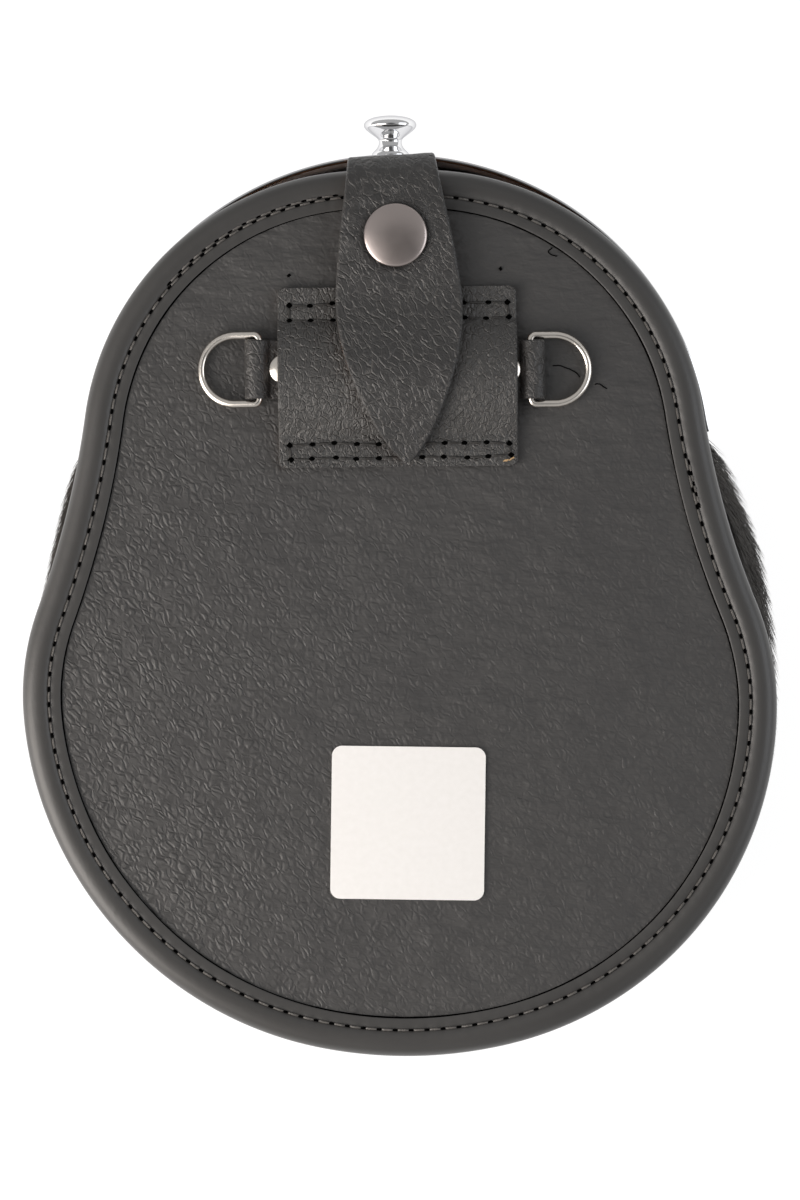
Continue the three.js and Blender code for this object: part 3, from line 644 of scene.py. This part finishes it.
def makeCantle():
    line, face = cantleLine(cantleRim["stations"])
    turn = np.linspace(0, math.pi / 2, 10)
    corner, metal, rim, ease = (cantleRim[key] for key in ("corner", "metal", "rim", "ease"))

    def bend(depth):
        radius = corner - depth
        return [(corner - radius * math.cos(a), corner - radius * math.sin(a)) for a in turn]

    mid = ease * 0.3  # the eased edge's middle
    outer = [(ease, rim), (mid, rim - mid), (0.0, rim - ease), (0.0, rim - 6)] + bend(0.0)
    inner = bend(metal)[::-1] + [(metal, rim - 4), (metal, rim - ease), (metal - mid, rim - mid),
            (metal - ease, rim)]
    sections = []
    for width in face:
        lip = [(width - 2.6, 0.0), (width - 1.6, 0.0), (width - 0.3, 0.1), (width, 0.4), (width - 0.2, metal)]
        sections.append(outer + lip + inner)
    loops = sweep(line, np.array(sections))
    size, first = len(sections[0]), len(outer) + len(lip) - 1
    lined = np.tile((np.arange(size) >= first) & (np.arange(size) < size - 4), cantleRim["stations"] - 1)
    makePiece("cantle_metal", skin(loops), chromePlate, ["cantle"], sharp=40, second=suede,
              secondFaces=np.r_[lined, False, False])


makeCantle()


# fur front: a dark hide dish with hair laid over it

furDish = {"stations": 360, "bellyRings": 10, "centre": (0.6, -6.0), "sideHairs": 12500, "bellyHairs": 6000,
           "length": (7.0, 13.0), "radius": 0.09, "stand": {"right": 3.8, "left": 2.4}, "bellyStand": 0.8,
           "floor": 0.25, "taper": (1.0, 0.8, 0.1), "bellyInset": 12.0, "bellyHeight": 1.6, "clearOfMetal": 1.0}
# section of the hide under the pile: inset and height outside, then inside
hideSection = [(2.3, 17.0), (1.8, 15.6), (1.1, 11.5), (1.6, 8.2), (3.2, 5.6), (5.6, 3.7), (8.6, 2.4),
        (13.0, 1.8), (18.0, 1.6)]
hideInside = [(18.0, 4.5), (14.0, 4.5), (9.0, 5.4), (6.4, 7.6), (4.95, 11.4), (5.2, 17.0)]
# the hair starts a little above the hide, over the foot of the gusset
furTop = [(5.4, 21.6), (3.8, 19.3)]


def makeFur():
    loop = outline(frontShape, furDish["stations"])
    centre = np.array(furDish["centre"])

    def rings(section, closing):
        stations = np.repeat(np.array(section, float)[None], furDish["stations"], 0)
        made = list(np.moveaxis(sweep(loop, stations), 1, 0))
        edge = made[-1] if closing else made[0]
        shrink = np.linspace(1, 0.02, furDish["bellyRings"])[1:]
        toward = [np.column_stack([centre + (edge[:, :2] - centre) * k, edge[:, 2]]) for k in shrink]
        return made + toward if closing else toward[::-1] + made

    outside, inside = rings(hideSection, True), rings(hideInside, False)
    points, faces = skin(np.array(outside + inside))
    count, size = len(outside) + len(inside), furDish["stations"]
    lined = np.repeat(np.arange(count - 1) >= len(outside), size)
    # the rim joins the inside wall back to the outside wall
    faces = faces[:-2]
    last = (count - 1) * size
    faces += [[j, (j + 1) % size, last + (j + 1) % size, last + j] for j in range(size)]
    makePiece("fur_hide", (points, faces), underHide, ["fur_front"], second=suede,
              secondFaces=np.r_[lined, np.ones(size, bool)])

    section = np.array(furTop + hideSection)
    drop = np.r_[0, np.cumsum(np.hypot(*np.diff(section, axis=0).T))]  # way down the section from the rim

    def onHide(along, down):
        def at(way):
            return np.stack([np.interp(way, drop, column) for column in section.T])

        inset, z = at(down)
        slope = at(down + 0.5) - at(down - 0.5)
        xy, inward = onOutline(loop, loop["xy"], along), onOutline(loop, loop["inward"], along)
        size = np.hypot(*slope)
        place = np.concatenate([xy + inward * inset[..., None], z[..., None]], -1)
        normal = np.concatenate([inward * (slope[1] / size)[..., None], (-slope[0] / size)[..., None]], -1)
        return place, normal

    def strands(line, normal):  # thin three-sided hairs that taper to their tips
        run = line[:, -1] - line[:, 0]
        side = np.cross(run, normal[:, 0])
        side /= np.linalg.norm(side, axis=1)[:, None]
        angle = 2 * math.pi * np.arange(3) / 3
        thick = furDish["radius"] * np.array(furDish["taper"])
        line[..., 2] = np.maximum(line[..., 2], furDish["floor"])
        return (line[:, :, None] + side[:, None, None] * (thick[:, None] * np.cos(angle))[None, ..., None]
                + normal[:, :1, None] * (thick[:, None] * np.sin(angle))[None, ..., None])

    t = np.linspace(0, 1, len(furDish["taper"]))
    # hair on the side wall is combed down the front and follows its curve
    ends, foot = cantleRim["endLength"] - 1, loop["length"] / 2
    total = furDish["sideHairs"]
    for side, low, high in (("right", ends, foot), ("left", foot, loop["length"] - ends)):
        along, down = rng.uniform(low, high, total), drop[-2] * rng.uniform(0.01, 1, total) ** 1.5
        inward = onOutline(loop, loop["inward"], along)
        length = rng.uniform(*furDish["length"], total)
        forward = -inward[:, 0] + rng.normal(0, 0.06, total)
        upward = 0.55 * np.maximum(inward[:, 1], -0.2) + 0.06 + rng.normal(0, 0.08, total)
        path = along[:, None] + (length * forward)[:, None] * t
        place, normal = onHide(path, np.maximum(down[:, None] - (length * upward)[:, None] * t, 0.1))
        stand = furDish["stand"][side] * rng.uniform(0.15, 1.0, total)
        line = place + normal * (stand[:, None] * t ** 0.8)[..., None]
        makePiece("fur_" + side, manySkins(strands(line, normal)), guardHair, sharp=180)

    # hair under the belly lies pressed flat below the cantle's scalloped edge
    spread = np.sqrt(rng.uniform(0, 1, 2 * furDish["bellyHairs"]))
    within = loop["xy"] + loop["inward"] * furDish["bellyInset"]
    edge = onOutline(loop, within, rng.uniform(0, loop["length"], len(spread)))
    xy = centre + (edge - centre) * spread[:, None]
    metalEdge = cantleEdge()
    margin = furDish["clearOfMetal"]
    clear = np.min(np.linalg.norm(xy[:, None] - metalEdge[None], axis=2), axis=1) > margin
    xy = xy[clear & (xy[:, 1] < np.interp(xy[:, 0], *metalEdge.T) - margin)][:furDish["bellyHairs"]]
    root = np.column_stack([xy, np.full(len(xy), furDish["bellyHeight"])])
    comb = np.column_stack([rng.normal(0, 0.14, len(xy)), -np.ones(len(xy)), np.zeros(len(xy))])
    length = rng.uniform(*furDish["length"], len(xy))
    normal = np.broadcast_to([0, 0, -1.0], (len(xy), len(t), 3))
    stand = furDish["bellyStand"] * rng.uniform(0.6, 1.1, len(xy))
    line = root[:, None] + comb[:, None] * (length[:, None] * t)[..., None]
    line = line + normal * (stand[:, None] * t)[..., None]
    makePiece("fur_belly", manySkins(strands(line, normal)), guardHair, sharp=180)


makeFur()


# turned pieces

def lathe(rows, origin, axis, segments=72):  # rows of radius and distance along the axis
    axis = np.asarray(axis, float)
    first = np.cross(axis, [1.0, 0, 0]) if abs(axis[0]) < 0.9 else np.cross(axis, [0, 1.0, 0])
    second = np.cross(axis, first)
    angle = 2 * math.pi * np.arange(segments) / segments
    around = np.cos(angle)[:, None] * first + np.sin(angle)[:, None] * second
    rows = np.asarray(rows, float)
    return skin(np.asarray(origin) + rows[:, None, 1:] * axis + rows[:, None, :1] * around)


knob = {"at": (-1.3, 110.5, 22.0), "post": [(0.05, -2.1), (1.6, -2.1), (1.6, 0.0)]}
# radius and distance out from the cantle, foot to crown
knobTurning = [
    (4.5, 0.0), (4.52, 0.3), (4.3, 0.75), (3.8, 1.25), (3.25, 1.85), (2.9, 2.5), (2.75, 3.2), (2.85, 3.8),
    (3.25, 4.3), (3.95, 4.85), (4.75, 5.45), (5.5, 6.05), (6.05, 6.6), (6.3, 7.05), (6.35, 7.4), (6.28, 7.8),
    (6.0, 8.25), (5.4, 8.7), (4.5, 9.1), (3.3, 9.4), (1.8, 9.62), (0.05, 9.7)]
knobRows = knob["post"] + smoothPath(knobTurning, 60).tolist()
makePiece("knob_metal", lathe(knobRows, knob["at"], (0, 1, 0)), chromePlate, ["cantle_knob"],
          sharp=40)

snap = {"at": (-0.3, 89.6), "seat": 46.0, "shank": [(0.05, -2.1), (1.9, -2.1), (1.9, 0.0), (7.3, 0.0)]}
capTurning = [(7.5, 0.15), (7.52, 0.4), (7.4, 0.68), (7.1, 0.86), (6.6, 1.0), (5.6, 1.2), (4.2, 1.4),
        (2.6, 1.54), (1.2, 1.59), (0.05, 1.6)]
capShape = lathe(snap["shank"] + smoothPath(capTurning, 40).tolist(), (*snap["at"], snap["seat"]), (0, 0, 1))
makePiece("snap_cap_metal", capShape, blackNickel, ["snap_cap"], sharp=40)


# closing strap

strap = {"thickness": 1.8, "skew": 2.4, "rows": 300, "columns": 84, "edge": 0.75, "crease": 0.1,
         "creaseSize": 3.2, "pull": 0.42, "pullSize": 2.2, "pullRing": (10.5, 3.5), "pressed": 0.35,
         "pressedFrom": 7.2, "pressedReach": 1.1}
# centre along its run out of the mouth, over the edge and down to its tip: y, z, half width
strapRun = [
    (106.8, 17.8, 10.3), (106.8, 24.0, 10.3), (106.9, 30.5, 10.3), (108.1, 36.0, 10.3), (108.2, 39.8, 10.4),
    (105.4, 42.9, 10.8), (98.5, 44.6, 11.9), (89.6, 44.8, 13.4), (82.0, 44.6, 14.4), (74.0, 44.6, 15.1),
    (66.0, 46.3, 14.5), (57.0, 48.0, 12.4), (48.5, 47.0, 9.1), (42.0, 45.0, 5.7), (37.4, 43.8, 2.4),
    (36.0, 43.5, 0.9)]


def strip(centre, across, normal, half, thickness, columns, edge, lift=None):
    u = np.sin(np.linspace(-math.pi / 2, math.pi / 2, columns))
    fromEdge = half[:, None] * (1 - np.abs(u))
    swell = np.sqrt(1 - (1 - np.clip(fromEdge / edge, 0, 1)) ** 2)
    height = thickness / 2 * (0.2 + 0.8 * swell)
    flat = centre[:, None] + across[:, None] * (u * half[:, None])[..., None]
    raised = height if lift is None else height + lift * swell
    top = flat + normal[:, None] * raised[..., None]
    under = flat - normal[:, None] * height[..., None]
    return np.concatenate([top, under[:, ::-1]], axis=1)


def makeStrap():
    run = smoothPath(strapRun, strap["rows"])
    centre = np.column_stack([np.zeros(strap["rows"]), run[:, 0], run[:, 1]])
    along = np.gradient(centre, axis=0)
    along /= np.linalg.norm(along, axis=1)[:, None]
    across = np.repeat([[1.0, 0, 0]], strap["rows"], 0)
    half = run[:, 2]
    u = np.sin(np.linspace(-math.pi / 2, math.pi / 2, strap["columns"]))
    x = u * half[:, None]
    y, z = (np.repeat(run[:, None, i], strap["columns"], 1) for i in (0, 1))
    spots = np.stack([x, y, z], -1)
    drawn = np.stack([x * 0.8 - y * 0.6, (x * 0.6 + y * 0.8) * 0.45, z], -1)  # long down to the right
    fromSnap = np.hypot(x, y - snap["at"][1])
    middle, spread = strap["pullRing"]
    besideSnap = np.exp(-((fromSnap - middle) / spread) ** 2) * smoothStep(-x, -6.0, 4.0)
    lift = strap["crease"] * lumps(drawn, strap["creaseSize"], 6.0)
    lift += strap["pull"] * besideSnap * lumps(spots * [0.35, 1.4, 1], strap["pullSize"], 8.0)
    fromCap = np.maximum(fromSnap - strap["pressedFrom"], 0)
    lift -= strap["pressed"] * np.exp(-(fromCap / strap["pressedReach"]) ** 2)  # pressed in round the cap
    shape = strip(centre, across, np.cross(along, across), half, strap["thickness"], strap["columns"],
            strap["edge"], lift)
    angle = math.radians(strap["skew"])
    cos, sin = math.cos(angle), math.sin(angle)
    spin = np.array([[cos, sin, 0], [-sin, cos, 0], [0, 0, 1]])
    shape = (shape - [0, snap["at"][1], 0]) @ spin + [*snap["at"], 0]
    under = np.tile(np.arange(2 * strap["columns"]) >= strap["columns"], strap["rows"] - 1)
    makePiece("strap_leather", skin(shape), creasedCalf, ["closing_strap"], second=suede,
              secondFaces=np.r_[under, True, True])


makeStrap()


# belt loop

loopPatch = {"left": -28.6, "right": 28.3, "top": 77.6, "bottom": 34.9, "thickness": 1.6, "rise": 4.6,
        "upper": 70.0, "lower": 42.5, "fullness": 2, "rows": 130, "columns": 150, "gap": 0.3, "edge": 0.5,
        "corner": 1.4, "wrinkle": 0.08, "wrinkleSize": 2.6, "ripple": 0.04, "rippleSize": 2.4,
        "seamHeight": 1.8, "wobble": 0.22, "fibres": 5, "fibre": 0.09, "fibreSpread": 0.13,
        "seams": (73.6, 70.0, 40.4, 37.0), "pitch": 4.75, "seamLeft": 2.9, "seamRight": 2.0,
        "frayed": [(24.9, 36.0), (26.0, 36.2), (27.3, 36.8)]}
loopSeam = {"thread": 0.28, "proud": 0.42, "hole": 1.5, "holeWidth": 1.05, "holeRise": 0.0}


def makeLoop():
    y = np.linspace(loopPatch["top"], loopPatch["bottom"], loopPatch["rows"])
    middle = (loopPatch["upper"] + loopPatch["lower"]) / 2
    offset = np.abs(y - middle) / (loopPatch["upper"] - middle)
    rise = loopPatch["rise"] * np.maximum(0, 1 - offset ** loopPatch["fullness"])
    z = panel["face"] + loopPatch["gap"] + rise + loopPatch["thickness"] / 2
    middleX = (loopPatch["left"] + loopPatch["right"]) / 2
    fromEnd = np.minimum(y - loopPatch["bottom"], loopPatch["top"] - y)
    rounded = loopPatch["corner"] * (1 - np.sqrt(1 - (1 - np.clip(fromEnd / loopPatch["corner"], 0, 1)) ** 2))
    half = np.full(len(y), (loopPatch["right"] - loopPatch["left"]) / 2) - rounded
    centre = np.column_stack([np.full(len(y), middleX), y, z])
    across = np.repeat([[1.0, 0, 0]], len(y), 0)
    normal = np.repeat([[0, 0, 1.0]], len(y), 0)
    u = np.sin(np.linspace(-math.pi / 2, math.pi / 2, loopPatch["columns"]))
    x = middleX + u * half[:, None]
    spots = np.stack([x, np.repeat(y[:, None], len(u), 1), np.zeros(x.shape)], -1)
    free = smoothStep(rise, 0.0, 2.5)[:, None]
    lift = loopPatch["wrinkle"] * lumps(spots * [1.0, 0.35, 1], loopPatch["wrinkleSize"], 12.0) * free
    lift += loopPatch["ripple"] * lumps(spots, loopPatch["rippleSize"], 15.0)
    left, right = loopPatch["left"] + loopPatch["seamLeft"], loopPatch["right"] - loopPatch["seamRight"]
    marks = np.linspace(left, right, int((right - left) / loopPatch["pitch"]) + 1)
    rows = []
    for seam in loopPatch["seams"]:
        dip = np.exp(-((spots[..., 1] - seam) / 0.6) ** 2)
        nearest = np.abs(spots[..., :1] - marks).min(-1)
        lift -= dip * (0.06 + 0.2 * np.exp(-(nearest / 0.7) ** 2))
        level = np.full(len(marks), panel["face"] + loopPatch["seamHeight"])
        rows.append(np.column_stack([marks, np.full(len(marks), seam), level]))
    rows = [row + rng.normal(0, loopPatch["wobble"], row.shape) * [1, 1, 0] for row in rows]
    shape = skin(strip(centre, across, normal, half, loopPatch["thickness"], loopPatch["columns"],
            loopPatch["edge"], lift))
    under = np.tile(np.arange(2 * loopPatch["columns"]) >= loopPatch["columns"], loopPatch["rows"] - 1)
    makePiece("loop_leather", shape, wrinkledCalf, ["belt_loop"], second=suede,
              secondFaces=np.r_[under, False, False])
    # the two rows of each seam are joined at their ends
    for upper, lower in ((rows[0], rows[1]), (rows[2], rows[3])):
        rows += [np.stack([upper[k], lower[k]]) for k in (0, -1)]
    makeSeam("loop", [(row, False) for row in rows], loopSeam, blackThread)
    frayed = smoothPath([(*spot, panel["face"] + 1.95) for spot in loopPatch["frayed"]], 10)
    fibres = frayed + rng.normal(0, loopPatch["fibreSpread"], (loopPatch["fibres"], 10, 3)) * [1, 1, 0.3]
    ends = tubes(fibres, np.full(fibres.shape[:2], loopPatch["fibre"]))
    makePiece("loop_thread_end", manySkins(ends), undyedThread)


makeLoop()


# rings with their tabs and rivets

ringHolder = {"bar": 3.4, "reach": 13.8, "half": 8.15, "corner": 1.3, "wire": 0.9, "droop": 6.5,
        "barHeight": 2.8, "tabWidth": 14.0, "leather": 1.26, "rivetAt": 9.0, "rivetHeight": 3.2,
        "sides": {"left": (-36.5, 58.3, 1), "right": (34.9, 57.6, -1)}}
# middle of the tab's leather from its lower end round the bar to its upper end: inward, above the panel
tabFold = [(13.9, 0.95), (9.0, 0.95), (4.6, 0.95), (2.5, 0.98), (1.3, 1.4), (0.66, 2.4), (0.8, 3.5), (1.6, 4.4),
           (2.8, 4.66), (4.0, 4.4), (4.9, 3.4), (5.7, 2.45), (7.0, 2.25), (9.0, 2.25), (13.9, 2.25)]
rivetTurning = [(0.05, -5.4), (1.4, -5.4), (1.4, 0.0), (3.25, 0.0), (3.36, 0.12), (3.3, 0.36), (3.0, 0.58),
        (2.4, 0.8), (1.5, 1.0), (0.6, 1.09), (0.05, 1.1)]


def makeRing(side, foldX, y, turn):
    def place(p):
        return np.asarray(p) * [turn, turn, 1] + [foldX, y, panel["face"]]

    # tab
    fold = smoothPath(tabFold, 120)
    centre = np.column_stack([fold[:, 0], np.zeros(len(fold)), fold[:, 1]])
    along = np.gradient(centre, axis=0)
    along /= np.linalg.norm(along, axis=1)[:, None]
    across = np.repeat([[0, 1.0, 0]], len(fold), 0)
    half = np.full(len(fold), ringHolder["tabWidth"] / 2)
    shape = strip(centre, across, np.cross(across, along), half, ringHolder["leather"], 40, 0.4)
    makePiece("tab_leather_" + side, skin(place(shape)), creasedCalf, ["ring_tab_" + side])
    # rivet
    seat = place((ringHolder["rivetAt"], 0, ringHolder["rivetHeight"]))
    rivet = lathe(rivetTurning, seat, (0, 0, 1), 48)
    makePiece("rivet_metal_" + side, rivet, nickelPlate, ["rivet_" + side], sharp=40)
    # wire bent to a D about its straight bar
    corner, halfHeight = ringHolder["corner"], ringHolder["half"]
    bends = [(-corner, halfHeight - corner, corner, 0, 90, 9),
             (halfHeight - ringHolder["reach"], 0, halfHeight, 90, 270, 60),
             (-corner, corner - halfHeight, corner, 270, 360, 9)]
    loops = []
    droop = math.radians(ringHolder["droop"])
    around = 2 * math.pi * np.arange(18) / 18
    for bx, by, radius, first, last, steps in bends:
        for angle in np.radians(np.linspace(first, last, steps)):
            out = np.array([math.cos(angle), math.sin(angle), 0])
            section = np.array([bx, by, 0]) + out * radius + ringHolder["wire"] * (
                np.cos(around)[:, None] * out + np.sin(around)[:, None] * np.array([0, 0, 1.0]))
            x, z = section[:, 0].copy(), section[:, 2].copy()
            section[:, 0] = x * math.cos(droop) - z * math.sin(droop)
            section[:, 2] = x * math.sin(droop) + z * math.cos(droop)
            loops.append(section + [ringHolder["bar"], 0, ringHolder["barHeight"]])
    makePiece("ring_wire_" + side, skin(place(np.array(loops)), ring=True), nickelPlate,
              ["dee_ring_" + side], body=side + "_ring", sharp=60)


for side, (foldX, ringY, turn) in ringHolder["sides"].items():
    makeRing(side, foldX, ringY, turn)


# solids that stay as they are, with their real finishes

for node, finish in (("label", stickerPaper), ("snap_stud", blackNickel)):
    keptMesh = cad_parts[node].data
    keptMesh.materials.clear()
    keptMesh.materials.append(finish)
print("label and stud finished")
